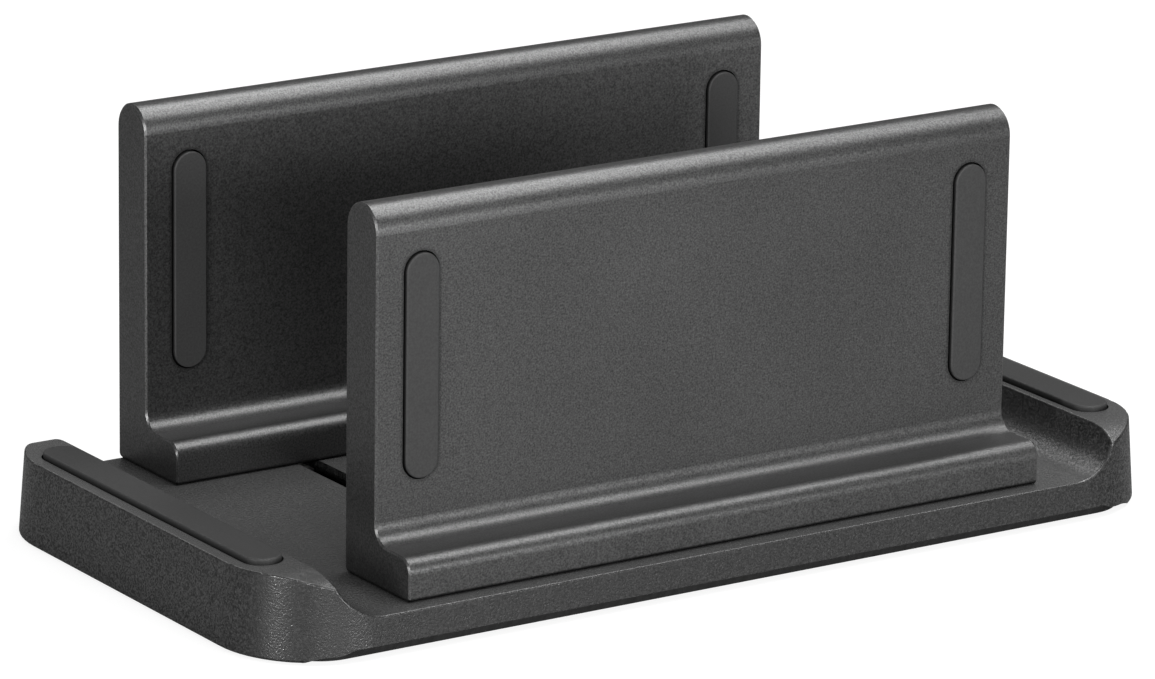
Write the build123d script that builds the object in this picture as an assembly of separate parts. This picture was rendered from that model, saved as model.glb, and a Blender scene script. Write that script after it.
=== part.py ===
from build123d import *

import math
import os

# A vertical laptop stand. A low cast tray carries two extruded uprights, which slide towards each other in two
# slots of its floor. A laptop stands on edge on the rubber strips of the tray's two end walls, between the uprights.
# The origin is the middle of the tray on the table: X runs along the tray, Y from its front to its rear, Z up.
# All sizes are in millimetres, and angles in degrees.

# Tray: outer form
TRAY_LENGTH = 250.0         # along X, at its lower edge
TRAY_DEPTH = 134.8          # along Y, at its lower edge
TRAY_CORNER = 25.0          # plan radius of its corners, at its lower edge
TRAY_DRAFT = 4.2            # its sides lean inwards
TRAY_LIFT = 0.3             # its lower edge above the table, as only the mat touches
FLOOR_TOP = 9.65            # the floor's upper side above the table
FLOOR_THICKNESS = 2.6
WALL_RISE = 10.35           # the end walls' top above the floor
COVE_INSET = 29.1           # from the tray's end to where the floor starts to rise
COVE_RADIUS = 13.0
CROWN_RUN = 12.1            # from the tray's front or rear to where a wall's top starts to fall
CROWN_RADIUS = 16.6
RIM_ROUND = 0.45            # outer edge of the walls' top
TROUGH_ROUND = 0.5          # edges where the floor and its coves meet the outside
LOWER_ROUND = 0.6           # lower edge of the tray's sides

# Tray: lifted middle of its front and rear lower edge
ARCH_INSET = 10.0           # from the tray's end to where the edge starts to rise
ARCH_RAMP = 11.0            # length of the rise

# Bottom plate and grip mat
PLATE_THICKNESS = 1.2
MAT_THICKNESS = 1.8
PLATE_END_INSET = 8.2      # from the tray's end to the plate
PLATE_SIDE_INSET = 3.0      # from the tray's front or rear to the plate
PLATE_CORNER = 12.0
PLATE_GAP = 0.3             # around the plate, in the tray
MAT_STEP = 0.8              # the mat is this much smaller than the plate all round

# Tray: cavity under the floor, its ribs and its screw bosses
CAVITY_END_INSET = 14.0     # from the tray's end to the cavity
CAVITY_SIDE_INSET = 5.0     # from the tray's front or rear to the cavity
CAVITY_CORNER = 10.0
RIB_THICKNESS = 1.6
RIB_PITCH = 40.0            # between the cross ribs
RIB_GAP = 0.3               # from the ribs and rails to the plate
BOSS_RADIUS = 3.6
BOSS_END_INSET = 27.0       # from the tray's end to the outer bosses
BOSS_SIDE_INSET = 14.0      # from the tray's front or rear to all bosses

# Countersunk screws of the bottom plate
PLATE_SCREW_RADIUS = 1.25
PLATE_SCREW_LENGTH = 4.6
PLATE_SCREW_HEAD_RADIUS = 2.3
PLATE_SCREW_HEAD = 1.1
THREAD_GAP = 0.05           # radial, of a threaded end in its hole
SCREW_END_ROOM = 0.5        # of a blind hole past its screw

# Rubber strips
STRIP_GROOVE = 1.2          # depth of their grooves
STRIP_GROOVE_GAP = 0.4      # between a strip and its groove's edge, all round
STRIP_PROUD = 0.9           # how far an upright's strip stands out
END_STRIP_PROUD = 1.35      # how far an end wall's strip stands out
STRIP_ROUND = 0.4
END_STRIP_WIDTH = 9.2
END_STRIP_LENGTH = 98.8
END_STRIP_INSET = 9.6       # from the tray's end to a strip's middle line
UPRIGHT_STRIP_WIDTH = 8.7
UPRIGHT_STRIP_LENGTH = 52.6
UPRIGHT_STRIP_INSET = 11.8  # from an upright's end to a strip's middle line
UPRIGHT_STRIP_HEIGHT = 50.1  # a strip's middle above the foot's underside

# Uprights: one section, as extruded
UPRIGHT_LENGTH = 175.0
UPRIGHT_HEIGHT = 87.9
UPRIGHT_THICKNESS = 12.9
FOOT_DEPTH = 27.4           # from the plate's far face to the foot's front
FOOT_HEIGHT = 10.1
FOOT_SHOULDER = 3.7         # radius of the foot's upper front edge
FOOT_FILLET = 4.6           # radius where the foot meets the plate
FOOT_FRONT_ROUND = 1.0
FOOT_BACK_ROUND = 1.5
END_CHAMFER = 0.4           # on the edges of the sawn ends

# Uprights: their places at the wide setting
FRONT_SETBACK = 4.95        # from the tray's front to the front foot, at the wide setting
REAR_SETBACK = 0.1          # from the tray's rear to the rear upright's far face
SLIDE_GAP = 0.05            # between faces that slide on each other

# Floor slots and the shoes that slide in them
SLOT_OFFSET = 51.1          # from the tray's middle to a slot's middle line
SLOT_WIDTH = 5.75
SLOT_SIDE_GAP = 0.15        # between a shoe's neck and the slot's side
SLOT_END_GAP = 0.4          # between a shoe's neck and the slot's end
NECK_LENGTH = 12.0
NECK_GAP = 0.3              # from the neck to the foot, so that the springs press the flange to the floor
SHOE_WIDTH = 12.0
SHOE_LENGTH = 16.0
SHOE_THICKNESS = 1.6
SHOE_CORNER = 2.0
RAIL_GAP = 0.3              # between a shoe and the rails beside it

# Clamp screws and their disc springs
CLAMP_SCREW_RADIUS = 2.0
CLAMP_SCREW_GRIP = 6.5      # length in the foot
CLAMP_HEAD_RADIUS = 3.7
CLAMP_HEAD = 1.6
CLAMP_SOCKET = 2.5          # across the flats
CLAMP_SOCKET_DEPTH = 0.9
CLAMP_HOLE_GAP = 0.1        # radial, in the shoe and the disc spring
SPRING_RADIUS = 3.6
SPRING_THICKNESS = 0.3
SPRING_HEIGHT = 0.5

# Heights and places that follow
PLATE_TOP = MAT_THICKNESS + PLATE_THICKNESS
FLOOR_UNDERSIDE = FLOOR_TOP - FLOOR_THICKNESS
WALL_TOP = FLOOR_TOP + WALL_RISE
COVE_START = TRAY_LENGTH / 2 - COVE_INSET
FOOT_UNDERSIDE = FLOOR_TOP + SLIDE_GAP
SHOE_TOP = FLOOR_UNDERSIDE - SLIDE_GAP
SHOE_UNDERSIDE = SHOE_TOP - SHOE_THICKNESS
SPRING_UNDERSIDE = SHOE_UNDERSIDE - SPRING_HEIGHT
FRONT_FAR_FACE = -TRAY_DEPTH / 2 + FRONT_SETBACK + FOOT_DEPTH
REAR_FAR_FACE = TRAY_DEPTH / 2 - REAR_SETBACK
SCREW_BACK = FOOT_DEPTH / 2   # from an upright's far face to its screws
FRONT_SCREW_Y = FRONT_FAR_FACE - SCREW_BACK
REAR_SCREW_Y = REAR_FAR_FACE - SCREW_BACK
SLOT_FRONT = FRONT_SCREW_Y - NECK_LENGTH / 2 - SLOT_END_GAP
SLOT_REAR = REAR_SCREW_Y + NECK_LENGTH / 2 + SLOT_END_GAP
OVERSIZE = 10.0               # how far cutting shapes run past what they cut


def stadium(length, width):
    """A strip with half-round ends, its length along X."""
    return SlotOverall(length, width)


def tray_plan(end_inset, side_inset, corner):
    """A rounded rectangle, set in from the tray's lower edge."""
    return RectangleRounded(TRAY_LENGTH - 2 * end_inset, TRAY_DEPTH - 2 * side_inset, corner)


def along_y(profile, depth):
    """Extrude a profile drawn in X and Z by a depth, centred on the tray's middle."""
    return extrude(Plane.XZ * profile, amount=depth / 2, both=True)


def boss_places():
    """Plan positions of the bottom plate's screws: four near the corners and two in the middle."""
    x = TRAY_LENGTH / 2 - BOSS_END_INSET
    y = TRAY_DEPTH / 2 - BOSS_SIDE_INSET
    return [(side * x, row * y) for side in (-1, 0, 1) for row in (-1, 1)]


def crowned_block():
    """The tray's outer form: a drafted block whose top falls in an arc towards the front and the rear."""
    block = extrude(Pos(0, 0, TRAY_LIFT) * tray_plan(0, 0, TRAY_CORNER), amount=WALL_TOP, taper=TRAY_DRAFT)
    half = TRAY_DEPTH / 2
    flat = half - CROWN_RUN
    drop = CROWN_RADIUS - math.sqrt(CROWN_RADIUS**2 - CROWN_RUN**2)
    slope = math.asin(CROWN_RUN / CROWN_RADIUS) / 2
    middle = (flat + CROWN_RADIUS * math.sin(slope), WALL_TOP - CROWN_RADIUS * (1 - math.cos(slope)))
    with BuildLine() as outline:
        Line((-flat, WALL_TOP), (flat, WALL_TOP))
        ThreePointArc((flat, WALL_TOP), middle, (half, WALL_TOP - drop))
        Polyline((half, WALL_TOP - drop), (half, 0), (-half, 0), (-half, WALL_TOP - drop))
        ThreePointArc((-half, WALL_TOP - drop), (-middle[0], middle[1]), (-flat, WALL_TOP))
    crown = extrude(Plane.YZ * make_face(outline.line), amount=TRAY_LENGTH / 2, both=True)
    crowned = block & crown
    upwards = math.sin(math.radians(45))
    top_edges = [edge for face in crowned.faces() if face.normal_at().Z > upwards for edge in face.edges()]
    # A seam between two of the top's faces is listed twice, and its rim once.
    rim = [edge for edge in top_edges if sum(edge.is_same(other) for other in top_edges) == 1]
    return fillet(rim, RIM_ROUND)


def trough():
    """What is cut from the block above the floor: a level floor that sweeps up in a cove to each end wall."""
    centre_height = FLOOR_TOP + COVE_RADIUS
    start = COVE_START
    lean = math.radians(45)
    arc_middle = (start + COVE_RADIUS * math.sin(lean), centre_height - COVE_RADIUS * math.cos(lean))
    with BuildLine() as outline:
        Line((-start, FLOOR_TOP), (start, FLOOR_TOP))
        ThreePointArc((start, FLOOR_TOP), arc_middle, (start + COVE_RADIUS, centre_height))
        Line((start + COVE_RADIUS, centre_height), (-start - COVE_RADIUS, centre_height))
        ThreePointArc((-start - COVE_RADIUS, centre_height), (-arc_middle[0], arc_middle[1]), (-start, FLOOR_TOP))
    return along_y(make_face(outline.line), TRAY_DEPTH + OVERSIZE)


def round_trough(tray):
    """Round the edges where the floor and its coves meet the tray's front, its rear and the walls' top."""
    surfaces = [
        face for face in tray.faces()
        if abs(face.center().Y) < TROUGH_ROUND
        and abs(face.center().X) < COVE_START + COVE_RADIUS
        and FLOOR_TOP - TROUGH_ROUND < face.center().Z < WALL_TOP - TROUGH_ROUND
    ]
    outer_edges = [
        edge for face in surfaces for edge in face.edges()
        if abs(edge.center().Y) > TROUGH_ROUND or edge.center().Z > FLOOR_TOP + TROUGH_ROUND
    ]
    return fillet(outer_edges, TROUGH_ROUND)


def arch():
    """What is cut from the lower edge: its middle is lifted over the plate, with an S-shaped rise at each end."""
    outer = TRAY_LENGTH / 2 - ARCH_INSET
    inner = outer - ARCH_RAMP
    rise = PLATE_TOP - TRAY_LIFT
    radius = (ARCH_RAMP**2 + rise**2) / (4 * rise)
    halfway = (outer - ARCH_RAMP / 2, TRAY_LIFT + rise / 2)
    with BuildLine() as outline:
        Line((-outer, 0), (outer, 0))
        Line((outer, 0), (outer, TRAY_LIFT))
        RadiusArc((outer, TRAY_LIFT), halfway, -radius)
        RadiusArc(halfway, (inner, PLATE_TOP), radius)
        Line((inner, PLATE_TOP), (-inner, PLATE_TOP))
        RadiusArc((-inner, PLATE_TOP), (-halfway[0], halfway[1]), radius)
        RadiusArc((-halfway[0], halfway[1]), (-outer, TRAY_LIFT), -radius)
        Line((-outer, TRAY_LIFT), (-outer, 0))
    return along_y(make_face(outline.line), TRAY_DEPTH + OVERSIZE)


def cavity():
    """The hollow under the floor: it keeps the floor's thickness under the cove, up into the end walls."""
    plan = tray_plan(CAVITY_END_INSET, CAVITY_SIDE_INSET, CAVITY_CORNER)
    column = extrude(Pos(0, 0, PLATE_TOP) * plan, amount=WALL_TOP)
    radius = COVE_RADIUS + FLOOR_THICKNESS
    centre_height = FLOOR_TOP + COVE_RADIUS
    reach = WALL_TOP - STRIP_GROOVE - FLOOR_THICKNESS
    across = COVE_START + math.sqrt(radius**2 - (centre_height - reach) ** 2)
    end = TRAY_LENGTH / 2
    lean = math.atan2(across - COVE_START, centre_height - reach) / 2
    arc_middle = (COVE_START + radius * math.sin(lean), centre_height - radius * math.cos(lean))
    with BuildLine() as outline:
        Line((-COVE_START, FLOOR_UNDERSIDE), (COVE_START, FLOOR_UNDERSIDE))
        ThreePointArc((COVE_START, FLOOR_UNDERSIDE), arc_middle, (across, reach))
        Polyline((across, reach), (end, reach), (end, 0), (-end, 0), (-end, reach), (-across, reach))
        ThreePointArc((-across, reach), (-arc_middle[0], arc_middle[1]), (-COVE_START, FLOOR_UNDERSIDE))
    return column & along_y(make_face(outline.line), TRAY_DEPTH)


def rails_and_ribs():
    """Pairs of rails that guide the shoes, and cross ribs that stop short of them."""
    bottom = PLATE_TOP + RIB_GAP
    height = WALL_TOP
    rail_offset = SHOE_WIDTH / 2 + RAIL_GAP + RIB_THICKNESS / 2
    rail_lines = [side * SLOT_OFFSET + way * rail_offset for side in (-1, 1) for way in (-1, 1)]
    solids = [
        Pos(x, 0, bottom) * Box(RIB_THICKNESS, TRAY_DEPTH, height, align=(Align.CENTER, Align.CENTER, Align.MIN))
        for x in rail_lines
    ]
    inner = 2 * (SLOT_OFFSET - rail_offset)
    outer = TRAY_LENGTH / 2 - SLOT_OFFSET - rail_offset
    outer_middle = TRAY_LENGTH / 2 - outer / 2
    for row in (-1, 0, 1):
        for x, width in ((0, inner), (-outer_middle, outer), (outer_middle, outer)):
            rib = Box(width, RIB_THICKNESS, height, align=(Align.CENTER, Align.CENTER, Align.MIN))
            solids.append(Pos(x, row * RIB_PITCH, bottom) * rib)
    return solids


def strip_groove(length, width):
    """The cutting shape of a strip's groove, with its mouth at Z = 0."""
    profile = stadium(length + 2 * STRIP_GROOVE_GAP, width + 2 * STRIP_GROOVE_GAP)
    return extrude(Pos(0, 0, -STRIP_GROOVE) * profile, amount=STRIP_GROOVE + OVERSIZE)


def strip(length, width, proud):
    """A rubber strip that lies on its groove's floor and stands proud of the face at Z = 0."""
    body = extrude(Pos(0, 0, -STRIP_GROOVE) * stadium(length, width), amount=STRIP_GROOVE + proud)
    return fillet(body.faces().sort_by(Axis.Z)[-1].edges(), STRIP_ROUND)


def end_strip_place(side):
    """Where an end wall carries its strip, the strip's length along Y."""
    return Pos(side * (TRAY_LENGTH / 2 - END_STRIP_INSET), 0, WALL_TOP) * Rot(0, 0, 90)


def make_tray():
    """The cast tray, with its slots, grooves, cavity, rails, ribs and screw bosses."""
    tray = round_trough(crowned_block() - trough())
    lower_edges = [edge for edge in tray.edges() if edge.bounding_box().max.Z < TRAY_LIFT + SLIDE_GAP]
    tray = fillet(lower_edges, LOWER_ROUND)
    pocket = tray_plan(PLATE_END_INSET - PLATE_GAP, PLATE_SIDE_INSET - PLATE_GAP, PLATE_CORNER + PLATE_GAP)
    tray -= extrude(pocket, amount=PLATE_TOP)
    tray -= arch()
    hollow = cavity()
    boss = Cylinder(BOSS_RADIUS, WALL_TOP, align=(Align.CENTER, Align.CENTER, Align.MIN))
    for solid in rails_and_ribs():
        hollow -= solid
    for x, y in boss_places():
        hollow -= Pos(x, y, PLATE_TOP) * boss
    tray -= hollow
    hole_radius = PLATE_SCREW_RADIUS + THREAD_GAP
    hole_depth = PLATE_SCREW_LENGTH - PLATE_THICKNESS + SCREW_END_ROOM
    for x, y in boss_places():
        hole = Cylinder(hole_radius, hole_depth, align=(Align.CENTER, Align.CENTER, Align.MIN))
        tray -= Pos(x, y, PLATE_TOP) * hole
    slot = extrude(Rot(0, 0, 90) * stadium(SLOT_REAR - SLOT_FRONT, SLOT_WIDTH), amount=FLOOR_TOP + OVERSIZE)
    for side in (-1, 1):
        tray -= Pos(side * SLOT_OFFSET, (SLOT_FRONT + SLOT_REAR) / 2, 0) * slot
        tray -= end_strip_place(side) * strip_groove(END_STRIP_LENGTH, END_STRIP_WIDTH)
    return tray


def make_plate():
    """The thin bottom plate, with countersunk holes."""
    plan = tray_plan(PLATE_END_INSET, PLATE_SIDE_INSET, PLATE_CORNER)
    plate = extrude(Pos(0, 0, MAT_THICKNESS) * plan, amount=PLATE_THICKNESS)
    for x, y in boss_places():
        plate -= Pos(x, y, MAT_THICKNESS) * plate_screw_form(THREAD_GAP)
    return plate


def make_mat():
    """The soft mat under the plate, the only piece that touches the table."""
    plan = tray_plan(PLATE_END_INSET + MAT_STEP, PLATE_SIDE_INSET + MAT_STEP, PLATE_CORNER - MAT_STEP)
    return extrude(plan, amount=MAT_THICKNESS)


def plate_screw_form(grown):
    """A countersunk screw that points up, its head's face at Z = 0, grown all round by a clearance."""
    shank = PLATE_SCREW_RADIUS + grown
    head = PLATE_SCREW_HEAD_RADIUS + grown
    with BuildLine() as outline:
        Polyline(
            (0, 0),
            (head, 0),
            (shank, PLATE_SCREW_HEAD),
            (shank, PLATE_SCREW_LENGTH),
            (0, PLATE_SCREW_LENGTH),
            close=True,
        )
    return revolve(Plane.XZ * make_face(outline.line), Axis.Z)


def upright_section():
    """The extrusion's section: Y runs back to the far face at 0, Z up from the foot's underside."""
    tip = UPRIGHT_THICKNESS / 2
    step = -UPRIGHT_THICKNESS
    front = -FOOT_DEPTH
    bend = math.sqrt(0.5)
    with BuildLine() as outline:
        Line((-FOOT_BACK_ROUND, 0), (front + FOOT_FRONT_ROUND, 0))
        ThreePointArc(
            (front + FOOT_FRONT_ROUND, 0),
            (front + FOOT_FRONT_ROUND * (1 - bend), FOOT_FRONT_ROUND * (1 - bend)),
            (front, FOOT_FRONT_ROUND),
        )
        Line((front, FOOT_FRONT_ROUND), (front, FOOT_HEIGHT - FOOT_SHOULDER))
        ThreePointArc(
            (front, FOOT_HEIGHT - FOOT_SHOULDER),
            (front + FOOT_SHOULDER * (1 - bend), FOOT_HEIGHT - FOOT_SHOULDER * (1 - bend)),
            (front + FOOT_SHOULDER, FOOT_HEIGHT),
        )
        Line((front + FOOT_SHOULDER, FOOT_HEIGHT), (step - FOOT_FILLET, FOOT_HEIGHT))
        ThreePointArc(
            (step - FOOT_FILLET, FOOT_HEIGHT),
            (step - FOOT_FILLET * (1 - bend), FOOT_HEIGHT + FOOT_FILLET * (1 - bend)),
            (step, FOOT_HEIGHT + FOOT_FILLET),
        )
        Line((step, FOOT_HEIGHT + FOOT_FILLET), (step, UPRIGHT_HEIGHT - tip))
        ThreePointArc((step, UPRIGHT_HEIGHT - tip), (-tip, UPRIGHT_HEIGHT), (0, UPRIGHT_HEIGHT - tip))
        Line((0, UPRIGHT_HEIGHT - tip), (0, FOOT_BACK_ROUND))
        ThreePointArc(
            (0, FOOT_BACK_ROUND),
            (-FOOT_BACK_ROUND * (1 - bend), FOOT_BACK_ROUND * (1 - bend)),
            (-FOOT_BACK_ROUND, 0),
        )
    return make_face(outline.line)


def upright_strip_place(face, side):
    """Where a strip lies on an upright whose far face is at Y = 0: the front or the back face, left or right."""
    x = side * (UPRIGHT_LENGTH / 2 - UPRIGHT_STRIP_INSET)
    y, turn = (-UPRIGHT_THICKNESS, 90) if face == "front" else (0, -90)
    return Pos(x, y, UPRIGHT_STRIP_HEIGHT) * Rot(turn, 0, 0) * Rot(0, 0, 90)


def make_upright():
    """One upright, its far face at Y = 0 and its foot's underside at Z = 0."""
    upright = extrude(Plane.YZ * upright_section(), amount=UPRIGHT_LENGTH / 2, both=True)
    ends = upright.faces().sort_by(Axis.X)
    upright = chamfer(ends[0].edges() + ends[-1].edges(), END_CHAMFER)
    for face in ("front", "back"):
        for side in (-1, 1):
            groove = strip_groove(UPRIGHT_STRIP_LENGTH, UPRIGHT_STRIP_WIDTH)
            upright -= upright_strip_place(face, side) * groove
    hole = Cylinder(
        CLAMP_SCREW_RADIUS + THREAD_GAP,
        CLAMP_SCREW_GRIP + SCREW_END_ROOM,
        align=(Align.CENTER, Align.CENTER, Align.MIN),
    )
    for side in (-1, 1):
        upright -= Pos(side * SLOT_OFFSET, -SCREW_BACK, 0) * hole
    return upright


def make_shoe():
    """A sliding shoe: a flange under the floor and a neck in its slot. The screw's axis is X = Y = 0."""
    flange_plan = RectangleRounded(SHOE_WIDTH, SHOE_LENGTH, SHOE_CORNER)
    shoe = extrude(Pos(0, 0, SHOE_UNDERSIDE) * flange_plan, amount=SHOE_THICKNESS)
    neck_plan = Rot(0, 0, 90) * stadium(NECK_LENGTH, SLOT_WIDTH - 2 * SLOT_SIDE_GAP)
    shoe += extrude(Pos(0, 0, SHOE_TOP) * neck_plan, amount=FOOT_UNDERSIDE - NECK_GAP - SHOE_TOP)
    return shoe - Pos(0, 0, SHOE_UNDERSIDE) * Cylinder(
        CLAMP_SCREW_RADIUS + CLAMP_HOLE_GAP,
        FOOT_UNDERSIDE,
        align=(Align.CENTER, Align.CENTER, Align.MIN),
    )


def make_disc_spring():
    """A shallow cone of sheet between a screw's head and its shoe."""
    inner = CLAMP_SCREW_RADIUS + CLAMP_HOLE_GAP
    lean = SPRING_HEIGHT - SPRING_THICKNESS
    with BuildLine() as outline:
        Polyline(
            (inner, SPRING_UNDERSIDE),
            (SPRING_RADIUS, SPRING_UNDERSIDE + lean),
            (SPRING_RADIUS, SPRING_UNDERSIDE + SPRING_HEIGHT),
            (inner, SPRING_UNDERSIDE + SPRING_THICKNESS),
            close=True,
        )
    return revolve(Plane.XZ * make_face(outline.line), Axis.Z)


def make_clamp_screw():
    """A low-head socket screw that points up into a foot."""
    head_bottom = SPRING_UNDERSIDE - CLAMP_HEAD
    length = FOOT_UNDERSIDE + CLAMP_SCREW_GRIP - head_bottom
    screw = Pos(0, 0, head_bottom) * (
        Cylinder(CLAMP_HEAD_RADIUS, CLAMP_HEAD, align=(Align.CENTER, Align.CENTER, Align.MIN))
        + Cylinder(CLAMP_SCREW_RADIUS, length, align=(Align.CENTER, Align.CENTER, Align.MIN))
    )
    socket = RegularPolygon(CLAMP_SOCKET / 2, 6, major_radius=False)
    return screw - extrude(Pos(0, 0, head_bottom) * socket, amount=CLAMP_SOCKET_DEPTH)


def upright_set(name, far_face, screw_y):
    """Every piece that slides with one upright, by node name."""
    pieces = {f"{name}_upright": Pos(0, far_face, FOOT_UNDERSIDE) * make_upright()}
    for face in ("front", "back"):
        for side, hand in ((-1, "left"), (1, "right")):
            place = Pos(0, far_face, FOOT_UNDERSIDE) * upright_strip_place(face, side)
            piece = place * strip(UPRIGHT_STRIP_LENGTH, UPRIGHT_STRIP_WIDTH, STRIP_PROUD)
            pieces[f"{name}_upright_{face}_{hand}_pad"] = piece
    for side, hand in ((-1, "left"), (1, "right")):
        pieces[f"{name}_{hand}_shoe"] = Pos(side * SLOT_OFFSET, screw_y, 0) * make_shoe()
    places = [Pos(side * SLOT_OFFSET, screw_y, 0) for side in (-1, 1)]
    pieces[f"{name}_clamp_screws"] = Compound([place * make_clamp_screw() for place in places])
    pieces[f"{name}_spring_washers"] = Compound([place * make_disc_spring() for place in places])
    return pieces


def make_pieces():
    """Every piece of the stand, by node name."""
    end_strip = strip(END_STRIP_LENGTH, END_STRIP_WIDTH, END_STRIP_PROUD)
    pieces = {
        "base_body": make_tray(),
        "base_plate": make_plate(),
        "grip_mat": make_mat(),
        "plate_screws": Compound([Pos(x, y, MAT_THICKNESS) * plate_screw_form(0) for x, y in boss_places()]),
        "left_end_pad": end_strip_place(-1) * end_strip,
        "right_end_pad": end_strip_place(1) * end_strip,
    }
    pieces.update(upright_set("front", FRONT_FAR_FACE, FRONT_SCREW_Y))
    pieces.update(upright_set("rear", REAR_FAR_FACE, REAR_SCREW_Y))
    return pieces


os.makedirs("parts", exist_ok=True)
for node, shape in make_pieces().items():
    export_step(shape, f"parts/{node}.step")
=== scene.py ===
"""Looks of a vertical laptop stand: a cast tray with two sliding extruded uprights, in Blender.

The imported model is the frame. This script gives each of its nodes a procedural finish that is measured
in millimetres on the part, puts screws with cut threads and driver sockets in place of its plain ones, and
sets the stand in a plain white studio.
"""

from __future__ import annotations

import logging
import math
from dataclasses import dataclass, field
from enum import Enum
from typing import Any

import bpy
import numpy as np
from mathutils import Matrix, Vector


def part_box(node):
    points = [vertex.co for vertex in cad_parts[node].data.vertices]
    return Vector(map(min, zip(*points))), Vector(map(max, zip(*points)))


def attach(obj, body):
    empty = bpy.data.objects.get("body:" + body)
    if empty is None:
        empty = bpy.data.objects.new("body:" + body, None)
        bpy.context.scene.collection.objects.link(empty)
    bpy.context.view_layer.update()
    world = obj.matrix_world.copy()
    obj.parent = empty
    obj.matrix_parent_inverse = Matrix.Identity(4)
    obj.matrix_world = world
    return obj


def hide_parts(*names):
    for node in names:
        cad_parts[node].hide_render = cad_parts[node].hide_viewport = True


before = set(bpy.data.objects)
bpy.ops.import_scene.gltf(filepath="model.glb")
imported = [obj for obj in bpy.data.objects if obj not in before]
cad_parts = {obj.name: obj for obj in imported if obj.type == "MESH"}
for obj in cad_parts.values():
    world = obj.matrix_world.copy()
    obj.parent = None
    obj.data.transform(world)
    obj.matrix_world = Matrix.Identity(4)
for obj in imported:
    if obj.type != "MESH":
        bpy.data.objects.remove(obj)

LOG = logging.getLogger("laptop_stand")
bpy.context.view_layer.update()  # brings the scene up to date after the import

MM = 0.001  # metres in a millimetre
GAP_SHADE_PAINT_REACH = 1.2  # millimetres: shade is painted into the colour of gaps narrower than this
GAP_SAMPLES = 6  # rays that measure how open a point lies
EDGE_SAMPLES = 4  # rays that measure how near an edge is
MIDDLE = 0.5  # of a noise, which runs from 0 to 1
TONE_TOP = 6.0  # the brightest tone that a finish shows, as a multiple of its level

Value = Any  # what a node's socket takes: a wire, a number, a colour or a vector
Colour = tuple[float, float, float, float]
Scale = tuple[float, float, float]


def grey(level: float) -> Colour:
    """An opaque neutral colour of that linear level."""
    return (level, level, level, 1.0)


class Wire:
    """One output socket of a node tree, with its arithmetic written as Python operators."""

    def __init__(self, nodes: NodeBench, socket: bpy.types.NodeSocket | None) -> None:
        """Keeps the tree and the socket, which a closing node doesn't have."""
        self.nodes = nodes
        self.socket = socket

    def _maths(self, operation: str, first: Value, second: Value) -> Wire:
        """Adds one Math node.

        Args:
            operation: Blender's name of the operation.
            first: A wire or a number.
            second: A wire or a number.

        Returns:
            The wire that carries the result.
        """
        return self.nodes.add("ShaderNodeMath", {"operation": operation}, {0: first, 1: second})

    def __add__(self, other: Value) -> Wire:
        """Sum."""
        return self._maths("ADD", self, other)

    def __radd__(self, other: Value) -> Wire:
        """Sum with the number first."""
        return self._maths("ADD", other, self)

    def __sub__(self, other: Value) -> Wire:
        """Difference."""
        return self._maths("SUBTRACT", self, other)

    def __rsub__(self, other: Value) -> Wire:
        """Difference from a number."""
        return self._maths("SUBTRACT", other, self)

    def __mul__(self, other: Value) -> Wire:
        """Product."""
        return self._maths("MULTIPLY", self, other)

    def __rmul__(self, other: Value) -> Wire:
        """Product with the number first."""
        return self._maths("MULTIPLY", other, self)

    def __pow__(self, other: Value) -> Wire:
        """Power."""
        return self._maths("POWER", self, other)


class NodeBench:
    """A node tree, of a material or of the surround, with each kind of node made by one method."""

    def __init__(self, owner: bpy.types.Material | bpy.types.World) -> None:
        """Empties the owner's tree.

        Args:
            owner: The material or the world that the tree belongs to.
        """
        owner.use_nodes = True
        self.tree = owner.node_tree
        self.tree.nodes.clear()

    def add(
        self, kind: str, settings: dict | None = None, sockets: dict | None = None, out: int | str = 0
    ) -> Wire:
        """Adds one node: its settings first, then its sockets.

        Args:
            kind: The node's type.
            settings: Properties by name.
            sockets: Values or wires by socket name or number.
            out: Which output the wire carries.

        Returns:
            The wire of that output.
        """
        node = self.tree.nodes.new(kind)
        for key, value in (settings or {}).items():
            setattr(node, key, value)
        for key, value in (sockets or {}).items():
            self.plug(node.inputs[key], value)
        return Wire(self, node.outputs[out] if node.outputs else None)

    def plug(self, socket: bpy.types.NodeSocket, value: Value) -> None:
        """Feeds one socket.

        Args:
            socket: The socket of a node.
            value: A wire, which is linked to it, or the value that it is set to.
        """
        if isinstance(value, Wire):
            self.tree.links.new(value.socket, socket)
        else:
            socket.default_value = value


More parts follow.
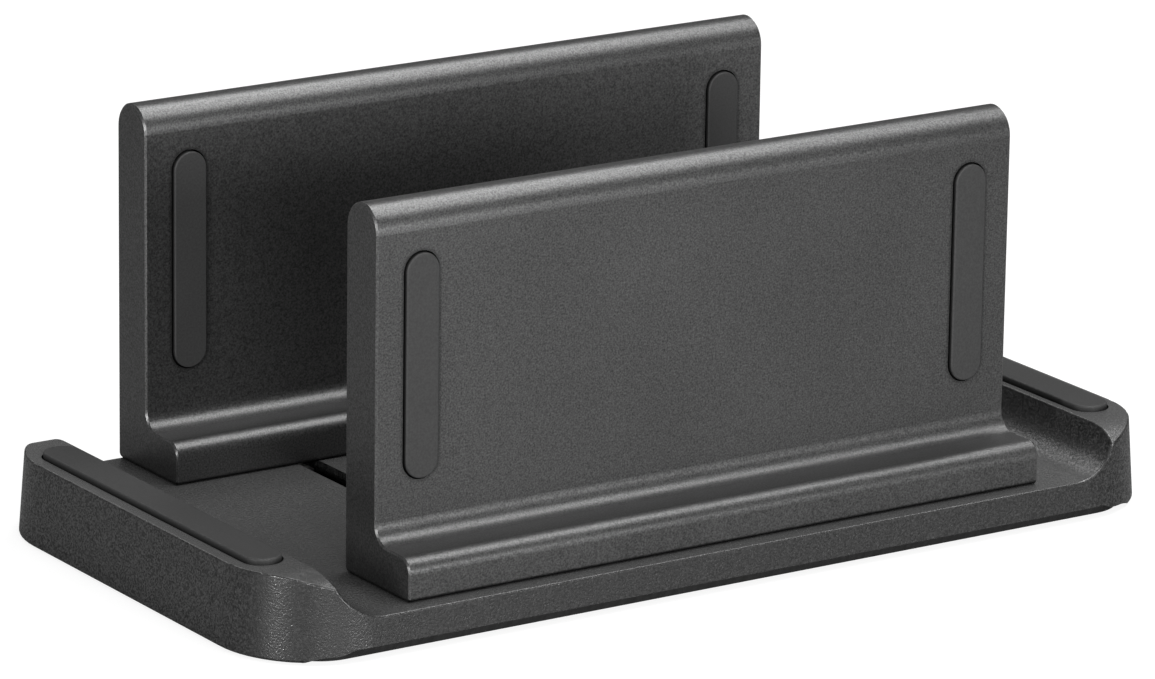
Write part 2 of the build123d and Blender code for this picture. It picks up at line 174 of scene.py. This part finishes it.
class FinishNodes(NodeBench):
    """The node tree of one material, on the part's own coordinates."""

    def __init__(self, name: str) -> None:
        """Makes an empty material of that name."""
        self.material = bpy.data.materials.new(name)
        super().__init__(self.material)

    def place(self, scale: Scale = (1.0, 1.0, 1.0)) -> Wire:
        """The part's own coordinates in millimetres.

        Args:
            scale: What each axis is multiplied by; a pattern is drawn out along an axis with a small one.

        Returns:
            The point.
        """
        own = self.add("ShaderNodeTexCoord", out="Object")
        in_mm = tuple(s / MM for s in scale)
        return self.add("ShaderNodeMapping", {"vector_type": "POINT"}, {"Vector": own, "Scale": in_mm})

    def noise(
        self, where: Wire, size: float, detail: float = 2.0, roughness: float = 0.5, curl: float = 0.0
    ) -> Wire:
        """Noise from 0 to 1.

        Args:
            where: Coordinates in millimetres.
            size: About how wide its grains are, in millimetres.
            detail: How many finer layers lie over them.
            roughness: How much each finer layer adds.
            curl: How far the grains are drawn out into short crooked worms.

        Returns:
            The noise.
        """
        sockets = {"Vector": where, "Scale": 1.0 / size, "Detail": detail, "Roughness": roughness}
        return self.add("ShaderNodeTexNoise", {"noise_dimensions": "3D"}, {**sockets, "Distortion": curl})

    def cells(self, where: Wire, size: float) -> Wire:
        """Distance to the nearest seed of cells about that many millimetres wide."""
        return self.add("ShaderNodeTexVoronoi", {"feature": "F1"}, {"Vector": where, "Scale": 1.0 / size})

    def mix(self, share: Value, first: Value, second: Value) -> Wire:
        """A colour that goes from the first to the second with the share."""
        sockets = {0: share, 6: first, 7: second}
        return self.add("ShaderNodeMix", {"data_type": "RGBA"}, sockets, out=2)

    def tint(self, tone: Wire, level: float) -> Wire:
        """A grey of that level times the tone, which runs from 0 to TONE_TOP."""
        return self.mix(tone * (1.0 / TONE_TOP), grey(0.0), grey(level * TONE_TOP))

    def edges(self, width: float) -> Wire:
        """Where an edge is near: 1 less the cosine between the true normal and a rounded edge's.

        Args:
            width: How far from the edge it starts, in millimetres.

        Returns:
            0 on a flat, rising to about 0.3 on a square edge.
        """
        rounded = self.add("ShaderNodeBevel", {"samples": EDGE_SAMPLES}, {"Radius": width * MM})
        true = self.add("ShaderNodeNewGeometry", out="True Normal")
        both = {0: rounded, 1: true}
        return 1.0 - self.add("ShaderNodeVectorMath", {"operation": "DOT_PRODUCT"}, both, out="Value")

    def level(self, least: float = 0.8) -> Wire:
        """How level the surface lies, by the upward part of its true normal.

        Args:
            least: The upward part from which it counts. The cosine of 37 degrees is about 0.8.

        Returns:
            0 up to there, rising evenly to 1 where the surface faces straight up.
        """
        true = self.add("ShaderNodeNewGeometry", out="True Normal")
        up = self.add("ShaderNodeSeparateXYZ", {}, {"Vector": true}, out="Z")
        sockets = {"Value": up, "From Min": least, "From Max": 1.0}
        return self.add("ShaderNodeMapRange", {"clamp": True}, sockets)

    def painted_gap_shade(self, reach: float, alone: bool = False, depth: float = 4.0) -> Wire:
        """How open the surface lies: the share of the sky that it sees, raised to a power, used as painted
        shade in gaps.

        Args:
            reach: How far around counts, in millimetres.
            alone: Whether only the piece itself counts, so that what slides over it leaves no mark.
            depth: The power; more is darker in gaps.

        Returns:
            1 on a flat, towards 0 in a narrow gap.
        """
        settings = {"samples": GAP_SAMPLES, "only_local": alone}
        share = self.add("ShaderNodeAmbientOcclusion", settings, {"Distance": reach * MM}, out="AO")
        return share ** depth

    def bump(self, height: Wire, depth: float, strength: float) -> Wire:
        """A normal from a height.

        Args:
            height: Height from 0 to 1.
            depth: What 1 stands for, in millimetres.
            strength: Share of it that shows.

        Returns:
            The bent normal.
        """
        sockets = {"Height": height, "Distance": depth * MM, "Strength": strength}
        return self.add("ShaderNodeBump", {}, sockets)

    def finish(self, **sockets: Value) -> bpy.types.Material:
        """Closes the tree with a Principled shader.

        Args:
            sockets: The shader's inputs, with _ for each space of their names.

        Returns:
            The finished material.
        """
        named = {key.replace("_", " "): value for key, value in sockets.items()}
        shader = self.add("ShaderNodeBsdfPrincipled", {}, named)
        self.add("ShaderNodeOutputMaterial", {}, {"Surface": shader})
        return self.material


@dataclass(frozen=True)
class BlastedAnodise:
    """Aluminium extrusion, bead blasted and anodised charcoal: a fine even grain with a satin sheen.

    Widths and depths are in millimetres, here and in the other finishes. A tone is the share of the level
    that a pattern adds or takes away, and a sheen is how far it moves the roughness.
    """

    level: float = 0.108
    metal: float = 0.80
    roughness: float = 0.36
    dent: float = 0.42
    dent_tone: float = 1.8
    dent_sheen: float = 0.10
    dent_depth: float = 0.015
    dent_strength: float = 0.85
    cloud: float = 38.0
    cloud_tone: float = 0.15
    cloud_sheen: float = 0.06
    edge: float = 0.5
    edge_wear_and_highlight_tone: float = 2.0

    def make(self) -> bpy.types.Material:
        """Builds the finish.

        The grain is a noise as fine as a bead's dent. A slow cloud of a few centimetres changes colour and
        sheen by a hair, as a real anodise bath does. Sharp edges are painted brighter: a painted highlight,
        with a little wear.

        Returns:
            The material.
        """
        nodes = FinishNodes("blasted_anodise")
        where = nodes.place()
        dent = nodes.noise(where, self.dent, detail=1.0)
        cloud = nodes.noise(where, self.cloud) - MIDDLE
        # painted highlight along sharp edges, with a little wear
        edge_wear_and_highlight = nodes.edges(self.edge)
        tone = 1.0 + (dent - MIDDLE) * self.dent_tone + cloud * self.cloud_tone + edge_wear_and_highlight * self.edge_wear_and_highlight_tone
        # painted shade: the colour darkens in narrow gaps
        tone = tone * nodes.painted_gap_shade(GAP_SHADE_PAINT_REACH)
        sheen = self.roughness + (dent - MIDDLE) * self.dent_sheen + cloud * self.cloud_sheen
        return nodes.finish(
            Base_Color=nodes.tint(tone, self.level),
            Metallic=self.metal,
            Roughness=sheen,
            Normal=nodes.bump(dent, self.dent_depth, self.dent_strength),
        )


@dataclass(frozen=True)
class TexturedCoat:
    """Die-cast aluminium under a fine-textured charcoal coat: short crooked grains that catch the light."""

    level: float = 0.024
    ior: float = 1.6
    roughness: float = 0.30
    worm: float = 0.5
    worm_curl: float = 0.5
    worm_share: float = 0.7
    fine: float = 0.225
    fine_share: float = 0.3
    grain_tone: float = 9.0
    grain_sheen: float = 1.2
    grain_depth: float = 0.09
    grain_strength: float = 0.85
    cloud: float = 30.0
    cloud_tone: float = 0.12
    edge: float = 0.5
    edge_wear_and_highlight_tone: float = 0.3
    # painted light: how much paler the coat is painted where it lies level
    pale_tone: float = 2.1
    shade_paint_reach: float = 2.4

    def make(self) -> bpy.types.Material:
        """Builds the finish.

        Drawn-out grains over finer ones are brighter and glossier on their tops, and sharp edges are
        painted brighter, a painted highlight with a little wear. Whatever lies level is painted paler, as
        painted light from above, and the tray's own gaps get painted shade.

        Returns:
            The material.
        """
        nodes = FinishNodes("textured_coat")
        where = nodes.place()
        worm = nodes.noise(where, self.worm, detail=1.0, curl=self.worm_curl)
        fine = nodes.noise(where, self.fine, detail=1.0)
        cloud = nodes.noise(where, self.cloud) - MIDDLE
        height = worm * self.worm_share + fine * self.fine_share
        # painted highlight along sharp edges, with a little wear
        edge_wear_and_highlight = nodes.edges(self.edge)
        tone = 1.0 + (height - MIDDLE) * self.grain_tone + cloud * self.cloud_tone + edge_wear_and_highlight * self.edge_wear_and_highlight_tone
        # painted light on level faces, and painted shade in the tray's own gaps
        tone = (tone + nodes.level() * self.pale_tone) * nodes.painted_gap_shade(self.shade_paint_reach, alone=True)
        sheen = self.roughness - (height - MIDDLE) * self.grain_sheen
        return nodes.finish(
            Base_Color=nodes.tint(tone, self.level),
            Roughness=sheen,
            Normal=nodes.bump(height, self.grain_depth, self.grain_strength),
            IOR=self.ior,
        )


@dataclass(frozen=True)
class PadRubber:
    """Moulded silicone rubber: almost smooth, matt, with a trace of the mould's texture."""

    level: float = 0.035
    ior: float = 1.43
    roughness: float = 0.58
    grain: float = 0.5
    grain_tone: float = 0.8
    grain_depth: float = 0.012
    grain_strength: float = 0.7
    patch: float = 14.0
    patch_tone: float = 0.2
    patch_sheen: float = 0.06
    edge: float = 0.35
    edge_wear_and_highlight_tone: float = 4.0

    def make(self) -> bpy.types.Material:
        """Builds the finish: a fine mould grain, faint dusty patches, painted shade in gaps, and edges
        painted paler as a painted highlight with a little wear.

        Returns:
            The material.
        """
        nodes = FinishNodes("pad_rubber")
        where = nodes.place()
        grain = nodes.noise(where, self.grain, detail=1.0)
        patch = nodes.noise(where, self.patch, detail=3.0, roughness=0.6) - MIDDLE
        tone = 1.0 + (grain - MIDDLE) * self.grain_tone + patch * self.patch_tone
        # painted highlight along the pad's edges, with a little wear
        tone = tone + nodes.edges(self.edge) * self.edge_wear_and_highlight_tone
        # painted shade: the colour darkens in narrow gaps
        tone = tone * nodes.painted_gap_shade(GAP_SHADE_PAINT_REACH)
        return nodes.finish(
            Base_Color=nodes.tint(tone, self.level),
            Roughness=self.roughness + patch * self.patch_sheen,
            Normal=nodes.bump(grain, self.grain_depth, self.grain_strength),
            IOR=self.ior,
        )


@dataclass(frozen=True)
class GripRubber:
    """The foot mat: soft black rubber with a pebbled face that grips a desk."""

    level: float = 0.006
    ior: float = 1.45
    roughness: float = 0.75
    hollow_tone: float = 0.5
    pebble: float = 1.6
    pebble_tone: float = 0.6
    pebble_depth: float = 0.25
    pebble_strength: float = 0.7
    dust: float = 9.0
    pale_tone: float = 0.4
    dust_sheen: float = 0.10

    def make(self) -> bpy.types.Material:
        """Builds the finish: pebbles with paler tops, under patches of dust.

        Returns:
            The material.
        """
        nodes = FinishNodes("grip_rubber")
        where = nodes.place()
        pebble = 1.0 - nodes.cells(where, self.pebble)
        dust = nodes.noise(where, self.dust, detail=4.0, roughness=0.65)
        tone = self.hollow_tone + pebble * self.pebble_tone + dust * self.pale_tone
        return nodes.finish(
            Base_Color=nodes.tint(tone, self.level),
            Roughness=self.roughness + (dust - MIDDLE) * self.dust_sheen,
            Normal=nodes.bump(pebble, self.pebble_depth, self.pebble_strength),
            IOR=self.ior,
        )


class SteelMark(Enum):
    """How a steel piece was worked: the scale per axis of its fine lines, small along the lines."""

    ROLLED = (0.02, 1.0, 1.0)
    DRAWN = (1.0, 1.0, 0.12)


@dataclass(frozen=True)
class WorkedSteel:
    """Bare or blackened steel with fine lines from the way it was worked."""

    name: str
    mark: SteelMark
    level: float
    roughness: float
    line: float = 0.35
    line_tone: float = 0.6
    line_sheen: float = 0.14
    line_depth: float = 0.01
    line_strength: float = 0.5
    stain: float = 6.0
    stain_tone: float = 0.3
    stain_sheen: float = 0.05
    edge: float = 0.4
    edge_wear_and_highlight_tone: float = 4.0

    def make(self) -> bpy.types.Material:
        """Builds the finish: noise drawn out along the lines of the work, stains, and edges painted bright
        as a painted highlight with a little wear.

        Returns:
            The material.
        """
        nodes = FinishNodes(self.name)
        line = nodes.noise(nodes.place(self.mark.value), self.line, detail=3.0, roughness=0.6) - MIDDLE
        stain = nodes.noise(nodes.place(), self.stain, detail=3.0) - MIDDLE
        tone = 1.0 + line * self.line_tone - stain * self.stain_tone
        # painted highlight along the steel's edges, with a little wear
        tone = tone + nodes.edges(self.edge) * self.edge_wear_and_highlight_tone
        return nodes.finish(
            Base_Color=nodes.tint(tone, self.level),
            Metallic=1.0,
            Roughness=self.roughness + line * self.line_sheen + stain * self.stain_sheen,
            Normal=nodes.bump(line, self.line_depth, self.line_strength),
        )


PLATE_STEEL = WorkedSteel("plate_steel", SteelMark.ROLLED, level=0.06, roughness=0.36)
SCREW_STEEL = WorkedSteel("screw_steel", SteelMark.DRAWN, level=0.10, roughness=0.32)
SPRING_STEEL = WorkedSteel("spring_steel", SteelMark.DRAWN, level=0.42, roughness=0.28)


@dataclass(frozen=True)
class ShoePlastic:
    """The sliding shoes: a pale, slippery moulded plastic."""

    level: float = 0.55
    ior: float = 1.48
    roughness: float = 0.38
    flow: float = 3.5
    flow_scale: Scale = (0.3, 1.0, 1.0)
    flow_colour: Colour = (0.60, 0.58, 0.52, 1.0)
    flow_share: float = 0.3
    flow_sheen: float = 0.08
    flow_depth: float = 0.02
    flow_strength: float = 0.5

    def make(self) -> bpy.types.Material:
        """Builds the finish: faint flow lines and an even, waxy sheen.

        Returns:
            The material.
        """
        nodes = FinishNodes("shoe_plastic")
        flow = nodes.noise(nodes.place(self.flow_scale), self.flow)
        return nodes.finish(
            Base_Color=nodes.mix(flow * self.flow_share, grey(self.level), self.flow_colour),
            Roughness=self.roughness + (flow - MIDDLE) * self.flow_sheen,
            Normal=nodes.bump(flow, self.flow_depth, self.flow_strength),
            IOR=self.ior,
        )


@dataclass
class Finishes:
    """One material of each finish, shared by every piece that has it."""

    upright: bpy.types.Material = field(default_factory=BlastedAnodise().make)
    tray: bpy.types.Material = field(default_factory=TexturedCoat().make)
    pad: bpy.types.Material = field(default_factory=PadRubber().make)
    mat: bpy.types.Material = field(default_factory=GripRubber().make)
    plate: bpy.types.Material = field(default_factory=PLATE_STEEL.make)
    screw: bpy.types.Material = field(default_factory=SCREW_STEEL.make)
    spring: bpy.types.Material = field(default_factory=SPRING_STEEL.make)
    shoe: bpy.types.Material = field(default_factory=ShoePlastic().make)


def dress(node: str, finish: bpy.types.Material) -> None:
    """Gives one CAD node its finish, on a mesh that stays as it is.

    Args:
        node: The node's name.
        finish: Its material.
    """
    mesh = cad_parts[node].data
    mesh.materials.clear()
    mesh.materials.append(finish)
    LOG.info("%s wears %s", node, finish.name)


@dataclass(frozen=True)
class ScrewForm:
    """One kind of threaded screw, in millimetres. It points up, with its head's face at height 0.

    A head that isn't countersunk is a cylinder with bevelled rims. The shank is plain under the head for
    the unthreaded length, and then threaded to the tip.
    """

    head_radius: float
    shank_radius: float
    head_height: float
    length: float
    countersunk: bool
    socket_across: float
    socket_depth: float
    unthreaded: float
    pitch: float
    thread_depth: float
    bevel: float = 0.15
    sides: int = 48
    rows_per_turn: int = 10

    def _hexagon(self, angle: np.ndarray) -> np.ndarray:
        """The driver socket's wall: half its width across flats over the cosine from a flat's middle.

        Args:
            angle: The angles round the screw's axis.

        Returns:
            The hexagon's radius at each angle.
        """
        sixth = math.pi / 3
        from_flat = np.mod(angle + sixth / 2, sixth) - sixth / 2
        return self.socket_across / 2 / np.cos(from_flat)

    def _head(self, angle: np.ndarray) -> tuple[np.ndarray, np.ndarray]:
        """The socket and the head, as rings: the socket's wall, then the head's outline round the axis.

        Args:
            angle: The angles round the screw's axis.

        Returns:
            Radius and height of each ring at each angle.
        """
        socket = self._hexagon(angle)
        rings = [(socket, self.socket_depth), (socket, 0.0)]
        if self.countersunk:
            rings += [(self.head_radius, 0.0), (self.shank_radius, self.head_height)]
        else:
            rings += [
                (self.head_radius - self.bevel, 0.0),
                (self.head_radius, self.bevel),
                (self.head_radius, self.head_height - self.bevel),
                (self.head_radius - self.bevel, self.head_height),
                (self.shank_radius, self.head_height),
            ]
        radius = np.stack([np.broadcast_to(r, angle.shape) for r, _ in rings])
        height = np.stack([np.full(angle.shape, h) for _, h in rings])
        return radius, height

    def _thread(self, angle: np.ndarray) -> tuple[np.ndarray, np.ndarray]:
        """The threaded shank, as rings.

        The groove's depth is a triangle wave of the height in pitches less the angle in turns, so that it
        winds round once per pitch. It fades in over the first turn, and the tip is bevelled to the thread's
        root.

        Args:
            angle: The angles round the screw's axis.

        Returns:
            Radius and height of each ring at each angle.
        """
        start = self.head_height + self.unthreaded
        end = self.length - self.thread_depth
        rows = int((end - start) / self.pitch * self.rows_per_turn) + 1
        height = np.linspace(start, end, rows)[:, None] + np.zeros_like(angle)
        turn = (height - start) / self.pitch - angle / math.tau
        groove = 1.0 - np.abs(2.0 * np.mod(turn, 1.0) - 1.0)
        fade = np.clip((height - start) / self.pitch, 0.0, 1.0)
        radius = self.shank_radius - self.thread_depth * groove * fade
        tip = np.minimum(radius[-1:], self.shank_radius - self.thread_depth)
        return np.vstack([radius, tip]), np.vstack([height, np.full_like(tip, self.length)])

    def surface(self) -> tuple[np.ndarray, np.ndarray, np.ndarray]:
        """The whole closed screw.

        Rings run from the socket's floor over the head and down the thread to the tip, each point at its
        ring's radius times the cosine and sine of its angle. A middle point closes the socket's floor and
        another the tip.

        Returns:
            The points, the four-sided faces between the rings, and the triangles of the floor and the tip,
            as rows of point numbers.
        """
        angle = np.arange(self.sides) / self.sides * math.tau
        head_radius, head_height = self._head(angle)
        thread_radius, thread_height = self._thread(angle)
        radius = np.vstack([head_radius, thread_radius])
        height = np.vstack([head_height, thread_height])
        rings = np.stack([radius * np.cos(angle), radius * np.sin(angle), height], axis=-1)
        middles = np.array([[0.0, 0.0, self.socket_depth], [0.0, 0.0, self.length]])
        points = np.vstack([rings.reshape(-1, 3), middles])
        number = np.arange(rings.shape[0] * self.sides).reshape(rings.shape[0], self.sides)
        beside = np.roll(number, -1, axis=1)
        walls = np.stack([number[:-1], beside[:-1], beside[1:], number[1:]], axis=-1).reshape(-1, 4)
        floor_middle, tip_middle = len(points) - 2, len(points) - 1
        floor = np.stack([np.full(self.sides, floor_middle), beside[0], number[0]], axis=-1)
        tip = np.stack([number[-1], beside[-1], np.full(self.sides, tip_middle)], axis=-1)
        return points, walls, np.vstack([floor, tip])


@dataclass
class ThreadedScrews:
    """The real screws of one CAD node of plain ones, as one mesh."""

    node: str
    body: str
    form: ScrewForm
    places: list[tuple[float, float, float]]
    finish: bpy.types.Material
    sharp_degrees: float = 30.0

    def build(self) -> None:
        """Repeats the screw at its places and lets it stand for the CAD node.

        Each copy is the first one's points moved to its place, and its faces with their numbers counted on.
        """
        points, walls, ends = self.form.surface()
        shifts = np.array(self.places)
        every_point = (points[None, :, :] + shifts[:, None, :]).reshape(-1, 3) * MM
        every_face: list[list[int]] = []
        for start in range(0, len(every_point), len(points)):
            every_face += (walls + start).tolist() + (ends + start).tolist()
        mesh = bpy.data.meshes.new(f"{self.node}_threaded")
        mesh.from_pydata(every_point.tolist(), [], every_face)
        mesh.polygons.foreach_set("use_smooth", np.ones(len(mesh.polygons), dtype=bool))
        mesh.set_sharp_from_angle(angle=math.radians(self.sharp_degrees))
        mesh.materials.append(self.finish)
        piece = bpy.data.objects.new(f"{self.node}_threaded", mesh)
        bpy.context.scene.collection.objects.link(piece)
        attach(piece, self.body)
        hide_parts(self.node)
        LOG.info("%s stands for %s: %d screws", piece.name, self.node, len(shifts))


@dataclass
class Tray:
    """The base: cast tray, bottom plate, grip mat, end pads and plate screws. Sizes in millimetres."""

    finishes: Finishes
    screw_head_radius: float = 2.3
    screw_head_height: float = 1.1
    screw_shank_radius: float = 1.25
    socket_across: float = 1.3
    socket_depth: float = 0.6
    screw_pitch: float = 0.45
    thread_depth: float = 0.27
    screw_columns: tuple[int, ...] = (-1, 0, 1)
    screw_rows: tuple[int, ...] = (-1, 1)

    def build(self) -> None:
        """Dresses every piece of the base and threads its screws."""
        dress("base_body", self.finishes.tray)
        dress("base_plate", self.finishes.plate)
        dress("grip_mat", self.finishes.mat)
        for side in ("left", "right"):
            dress(f"{side}_end_pad", self.finishes.pad)
        self._screws()

    def _screws(self) -> None:
        """Threads the plate's countersunk screws: three columns of two, spread over the node's box."""
        low, high = (np.array(corner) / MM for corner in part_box("plate_screws"))
        reach = high - self.screw_head_radius
        form = ScrewForm(
            head_radius=self.screw_head_radius,
            shank_radius=self.screw_shank_radius,
            head_height=self.screw_head_height,
            length=high[2] - low[2],
            countersunk=True,
            socket_across=self.socket_across,
            socket_depth=self.socket_depth,
            unthreaded=0.0,
            pitch=self.screw_pitch,
            thread_depth=self.thread_depth,
        )
        places = [
            (column * reach[0], row * reach[1], low[2])
            for column in self.screw_columns
            for row in self.screw_rows
        ]
        ThreadedScrews("plate_screws", "base", form, places, self.finishes.screw).build()


@dataclass
class Slider:
    """One upright with its four pads and the clamp gear under the tray's floor. Sizes in millimetres."""

    end: str
    finishes: Finishes
    screw_head_height: float = 1.6
    screw_shank_radius: float = 2.0
    socket_across: float = 2.5
    socket_depth: float = 0.9
    unthreaded: float = 4.4
    screw_pitch: float = 0.7
    thread_depth: float = 0.4

    def build(self) -> None:
        """Dresses the upright, its pads and its clamp gear, and threads the clamp screws."""
        dress(f"{self.end}_upright", self.finishes.upright)
        for face in ("front", "back"):
            for side in ("left", "right"):
                dress(f"{self.end}_upright_{face}_{side}_pad", self.finishes.pad)
        for side in ("left", "right"):
            dress(f"{self.end}_{side}_shoe", self.finishes.shoe)
        dress(f"{self.end}_spring_washers", self.finishes.spring)
        self._screws()

    def _screws(self) -> None:
        """Threads the two clamp screws, whose heads fill the node's box from end to end."""
        node = f"{self.end}_clamp_screws"
        low, high = (np.array(corner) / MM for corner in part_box(node))
        head_radius = (high[1] - low[1]) / 2
        form = ScrewForm(
            head_radius=head_radius,
            shank_radius=self.screw_shank_radius,
            head_height=self.screw_head_height,
            length=high[2] - low[2],
            countersunk=False,
            socket_across=self.socket_across,
            socket_depth=self.socket_depth,
            unthreaded=self.unthreaded,
            pitch=self.screw_pitch,
            thread_depth=self.thread_depth,
        )
        middle = (low[1] + high[1]) / 2
        places = [(low[0] + head_radius, middle, low[2]), (high[0] - head_radius, middle, low[2])]
        ThreadedScrews(node, f"{self.end}_slider", form, places, self.finishes.screw).build()


@dataclass(frozen=True)
class Softbox:
    """One studio lamp: a large rectangle that faces the object. Degrees, metres and watts."""

    name: str
    azimuth: float
    elevation: float
    width: float
    height: float
    power: float
    distance: float = 2.0

    def hang(self, aim: Vector) -> None:
        """Puts the lamp on its arm round the aim, azimuth 0 being the object's front.

        Args:
            aim: The point that it turns round and faces, in metres.
        """
        lamp = bpy.data.lights.new(self.name, "AREA")
        lamp.shape = "RECTANGLE"
        lamp.size = self.width
        lamp.size_y = self.height
        lamp.energy = self.power
        holder = bpy.data.objects.new(self.name, lamp)
        bpy.context.scene.collection.objects.link(holder)
        a, e = math.radians(self.azimuth), math.radians(self.elevation)
        out = Vector((math.sin(a) * math.cos(e), -math.cos(a) * math.cos(e), math.sin(e)))
        holder.location = aim + out * self.distance
        holder.rotation_mode = "QUATERNION"
        holder.rotation_quaternion = out.to_track_quat("Z", "Y")


@dataclass
class Studio:
    """White floor, soft lamps and an even surround. Lengths are in metres.

    The floor's level is its reflectance. Its glow, and the surround's full white, show to the camera alone.
    """

    floor_half: float = 6.0
    floor_drop: float = 0.0002
    floor_level: float = 0.25
    glow: float = 0.85
    surround: float = 0.16
    aim_height: float = 0.045
    lamps: tuple[Softbox, ...] = (
        Softbox("overhead", azimuth=30.0, elevation=86.0, width=0.6, height=0.6, power=10.0),
        Softbox("high_front", azimuth=40.0, elevation=60.0, width=0.6, height=0.6, power=7.8),
        Softbox("high_side", azimuth=80.0, elevation=60.0, width=0.6, height=0.6, power=6.0),
        Softbox("high_back", azimuth=120.0, elevation=60.0, width=0.6, height=0.6, power=9.5),
        Softbox("low_front", azimuth=10.0, elevation=8.0, width=0.5, height=0.5, power=18.0),
        Softbox("low_front_left", azimuth=-22.0, elevation=12.0, width=0.5, height=0.5, power=17.0),
        Softbox("strip_left", azimuth=-70.0, elevation=8.0, width=0.10, height=0.6, power=17.5),
        Softbox("back_fill", azimuth=178.0, elevation=40.0, width=1.0, height=0.5, power=3.0),
    )

    def build(self) -> None:
        """Lays the floor, sets the surround and hangs the lamps."""
        self._floor()
        self._world()
        for lamp in self.lamps:
            lamp.hang(Vector((0.0, 0.0, self.aim_height)))
        LOG.info("studio has %d softboxes", len(self.lamps))

    def _floor(self) -> None:
        """A square sheet just under the mat: corners at plus and minus the half side."""
        signs = np.array([(-1, -1), (1, -1), (1, 1), (-1, 1)], dtype=float)
        corners = np.column_stack([signs * self.floor_half, np.full(len(signs), -self.floor_drop)])
        mesh = bpy.data.meshes.new("studio_floor")
        mesh.from_pydata(corners.tolist(), [], [(0, 1, 2, 3)])
        sheet = bpy.data.objects.new("studio_floor", mesh)
        bpy.context.scene.collection.objects.link(sheet)
        nodes = FinishNodes("studio_paper")
        seen = nodes.add("ShaderNodeLightPath", out="Is Camera Ray")
        paper = nodes.add("ShaderNodeBsdfDiffuse", {}, {"Color": grey(self.floor_level)})
        shine = nodes.add("ShaderNodeEmission", {}, {"Color": grey(1.0), "Strength": self.glow})
        none = nodes.add("ShaderNodeEmission", {}, {"Color": grey(0.0), "Strength": 0.0})
        glow = nodes.add("ShaderNodeMixShader", {}, {0: seen, 1: none, 2: shine})
        both = nodes.add("ShaderNodeAddShader", {}, {0: paper, 1: glow})
        nodes.add("ShaderNodeOutputMaterial", {}, {"Surface": both})
        mesh.materials.append(nodes.material)

    def _world(self) -> None:
        """White where the camera sees it, and an even dim grey for everything else."""
        world = bpy.data.worlds.new("studio_surround")
        bpy.context.scene.world = world
        nodes = NodeBench(world)
        seen = nodes.add("ShaderNodeLightPath", out="Is Camera Ray")
        strength = seen * (1.0 - self.surround) + self.surround
        shine = nodes.add("ShaderNodeBackground", {}, {"Color": grey(1.0), "Strength": strength})
        nodes.add("ShaderNodeOutputWorld", {}, {"Surface": shine})


@dataclass(frozen=True)
class PhotoCamera:
    """The camera of the photograph, worked out from the stand's own edges.

    Angles are in degrees, the place and the sensor in millimetres, and the clip distances in metres.
    """

    azimuth: float = -33.609
    elevation: float = 16.21
    roll: float = 0.83
    focal_px: float = 7287.06
    width_px: float = 1155.0
    sensor: float = 36.0
    place_mm: tuple[float, float, float] = (-912.637, -1370.311, 521.142)
    nearest: float = 0.05
    farthest: float = 50.0

    def build(self) -> None:
        """Sets the scene's camera.

        Its axes are the view direction backwards, the level right turned by the roll, and their cross
        product.
        """
        a, e, r = (math.radians(v) for v in (self.azimuth, self.elevation, self.roll))
        back = Vector((math.sin(a) * math.cos(e), -math.cos(a) * math.cos(e), math.sin(e)))
        level_right = Vector((math.cos(a), math.sin(a), 0.0))
        level_up = back.cross(level_right)
        right = level_right * math.cos(r) + level_up * math.sin(r)
        up = level_up * math.cos(r) - level_right * math.sin(r)
        lens = bpy.data.cameras.new("photo_camera")
        lens.sensor_fit = "HORIZONTAL"
        lens.sensor_width = self.sensor
        lens.lens = self.focal_px / self.width_px * self.sensor
        lens.clip_start = self.nearest
        lens.clip_end = self.farthest
        camera = bpy.data.objects.new("photo_camera", lens)
        bpy.context.scene.collection.objects.link(camera)
        place = Vector(self.place_mm) * MM
        turned = Matrix((right, up, back)).transposed().to_4x4()
        camera.matrix_world = Matrix.Translation(place) @ turned
        bpy.context.scene.camera = camera


def main() -> None:
    """Dresses the stand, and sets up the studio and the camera."""
    logging.basicConfig(level=logging.INFO, format="%(name)s: %(message)s")
    finishes = Finishes()
    Tray(finishes).build()
    for end in ("front", "rear"):
        Slider(end, finishes).build()
    Studio().build()
    PhotoCamera().build()
    bpy.context.scene.view_settings.view_transform = "Standard"


if __name__ == "__main__":
    main()
